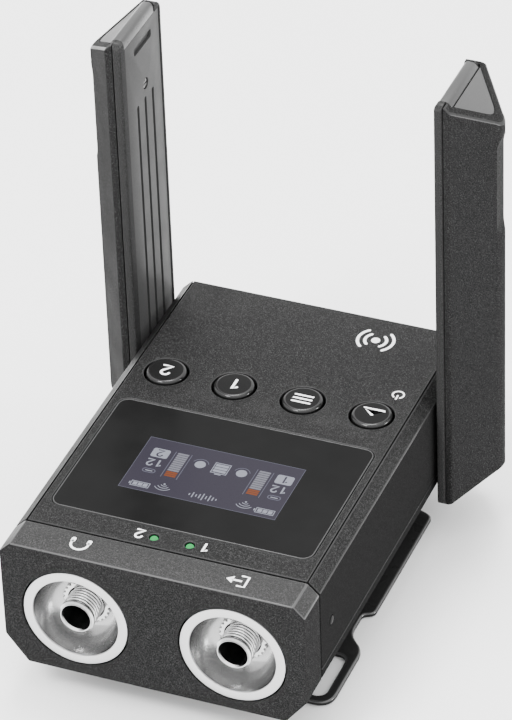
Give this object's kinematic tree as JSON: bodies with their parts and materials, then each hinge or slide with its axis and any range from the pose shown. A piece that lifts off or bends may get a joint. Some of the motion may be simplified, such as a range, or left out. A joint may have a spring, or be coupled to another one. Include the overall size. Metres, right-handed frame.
{
  "type": "wireless receiver unit",
  "caption": "Pocket wireless audio receiver with display window, round push buttons, threaded jack sockets, folding flat antennas and a sprung belt clip.",
  "frame": {"origin": "bottom centre of the bounding box, with the unit lying on its belt clip", "axes": "+Z out of the front panel and along the raised antennas, -Y towards the jack sockets, +X across the body"},
  "size_m": [0.0932, 0.1, 0.1138],
  "materials": {
    "coat": "fine textured coating with pale specks, charcoal",
    "antenna_coat": "fine textured coating, charcoal",
    "satin": "smooth satin, mid grey",
    "window": "smoked polished window",
    "screen": "lit display module",
    "black_plastic": "moulded black plastic",
    "button_rubber": "smooth black, slightly glossy edge",
    "board": "green solder mask",
    "copper": "bare radiating strip",
    "lamp": "clear green light pipe",
    "cell_sleeve": "printed plain sleeve",
    "satin_silver": "satin face, polished dish",
    "nickel": "nickel plated, turned",
    "steel": "bright stamped or turned",
    "clip_black": "black coated spring steel with bright edges"
  },
  "bodies": {
    "root": {"front_housing": "coat", "front_panel": "coat", "rear_housing": "coat", "end_cap": "coat", "window_glass": "window", "screen_module": "screen", "window_gasket": "black_plastic", "screen_frame": "black_plastic", "cell_tray": "black_plastic", "jack_socket_left": "black_plastic", "jack_socket_right": "black_plastic", "coax_lead_left": "black_plastic", "coax_lead_right": "black_plastic", "main_board": "board", "lamp_left": "lamp", "lamp_right": "lamp", "cell_left": "cell_sleeve", "cell_right": "cell_sleeve", "jack_ring_left": "satin_silver", "jack_ring_right": "satin_silver", "jack_collar_left": "nickel", "jack_collar_right": "nickel", "jack_washer_left": "nickel", "jack_washer_right": "nickel", "radio_shield": "steel", "battery_door_pin": "steel", "clip_pin": "steel", "clip_spring": "steel", "side_pin_left": "steel", "side_pin_right": "steel", "contact_spring_left": "steel", "contact_spring_right": "steel", "antenna_hub_washer_left": "steel", "antenna_hub_washer_right": "steel", "tact_switch_1": "steel", "tact_switch_2": "steel", "tact_switch_3": "steel", "tact_switch_4": "steel", "clip_bracket": "clip_black"},
    "antenna_left": {"antenna_shell_left": "antenna_coat", "antenna_cover_left": "satin", "antenna_inset_left": "satin", "antenna_screw_left": "steel", "antenna_element_left": "copper", "antenna_hub_left": "black_plastic", "antenna_hub_ring_left": "steel"},
    "antenna_right": {"antenna_shell_right": "antenna_coat", "antenna_cover_right": "satin", "antenna_inset_right": "satin", "antenna_screw_right": "steel", "antenna_element_right": "copper", "antenna_hub_right": "black_plastic", "antenna_hub_ring_right": "steel"},
    "button_1": {"button_1": "button_rubber"},
    "button_2": {"button_2": "button_rubber"},
    "button_3": {"button_3": "button_rubber"},
    "button_4": {"button_4": "button_rubber"},
    "battery_door": {"battery_door": "coat", "battery_door_contact": "steel"},
    "clip_arm": {"clip_arm": "clip_black"}
  },
  "joints": [
    {"name": "antenna_left_fold", "type": "hinge", "parent": "root", "child": "antenna_left", "pos_m": [-0.034, 0.0367, 0.0225], "axis": [1, 0, 0], "range_deg": [-90, 90]},
    {"name": "antenna_right_fold", "type": "hinge", "parent": "root", "child": "antenna_right", "pos_m": [0.034, 0.0367, 0.0225], "axis": [1, 0, 0], "range_deg": [-90, 90]},
    {"name": "button_1_press", "type": "slide", "parent": "root", "child": "button_1", "axis": [0, 0, -1], "range_m": [0, 0.0004], "stiffness_N_per_m": 300},
    {"name": "button_2_press", "type": "slide", "parent": "root", "child": "button_2", "axis": [0, 0, -1], "range_m": [0, 0.0004], "stiffness_N_per_m": 300},
    {"name": "button_3_press", "type": "slide", "parent": "root", "child": "button_3", "axis": [0, 0, -1], "range_m": [0, 0.0004], "stiffness_N_per_m": 300},
    {"name": "button_4_press", "type": "slide", "parent": "root", "child": "button_4", "axis": [0, 0, -1], "range_m": [0, 0.0004], "stiffness_N_per_m": 300},
    {"name": "battery_door_hinge", "type": "hinge", "parent": "root", "child": "battery_door", "pos_m": [0, 0.0486, 0.0121], "axis": [-1, 0, 0], "range_deg": [0, 95]},
    {"name": "clip_arm_hinge", "type": "hinge", "parent": "root", "child": "clip_arm", "pos_m": [0, 0.022, 0.0034], "axis": [1, 0, 0], "range_deg": [0, 12], "stiffness_Nm_per_rad": 0.3, "springref_deg": -20.05}
  ]
}
